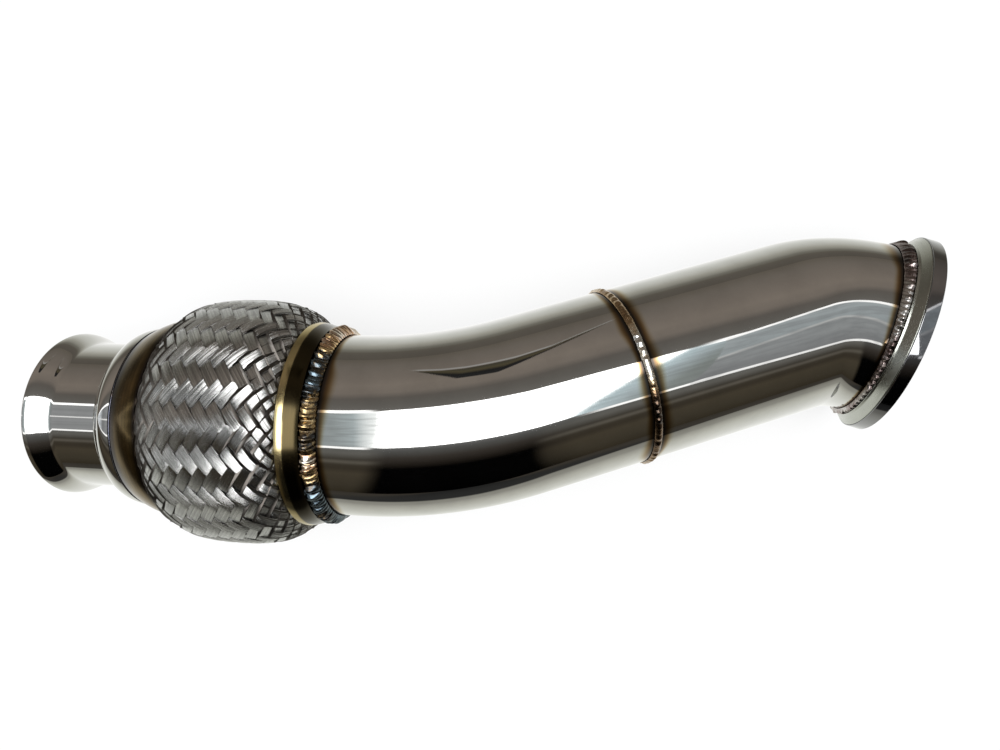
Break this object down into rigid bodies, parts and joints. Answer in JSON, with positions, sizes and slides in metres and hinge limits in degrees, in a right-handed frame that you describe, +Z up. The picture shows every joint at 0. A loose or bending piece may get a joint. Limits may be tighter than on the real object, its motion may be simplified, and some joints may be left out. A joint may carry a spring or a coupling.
{
  "type": "turbo downpipe",
  "caption": "Bent exhaust downpipe with a braided flex coupling, a flared inlet stub and a V-band flange outlet, welded in a row.",
  "frame": {"origin": "centre of the bounding box's base, on the surface the pipe lies on", "axes": "+Z up from that surface, +X from the inlet lip towards the outlet flange"},
  "size_m": [0.3936, 0.1088, 0.1054],
  "materials": {
    "polished_steel": "mirror polished",
    "heat_gold_steel": "heat tinted, polished",
    "braid_wire": "bright drawn wire",
    "bellows_steel": "bright sheet",
    "weld_bead": "rippled, heat tinted",
    "satin_steel": "satin, machined"
  },
  "bodies": {
    "root": {"inlet_stub": "polished_steel", "inlet_reducer": "polished_steel", "inlet_seam_weld": "weld_bead", "inlet_collar": "heat_gold_steel", "liner": "bellows_steel", "bellows": "bellows_steel", "braid": "braid_wire", "outlet_collar": "heat_gold_steel", "collar_weld": "weld_bead", "front_tube": "polished_steel", "mid_weld": "weld_bead", "rear_tube": "polished_steel", "flange_weld": "weld_bead", "vband_flange": "satin_steel"}
  },
  "joints": []
}
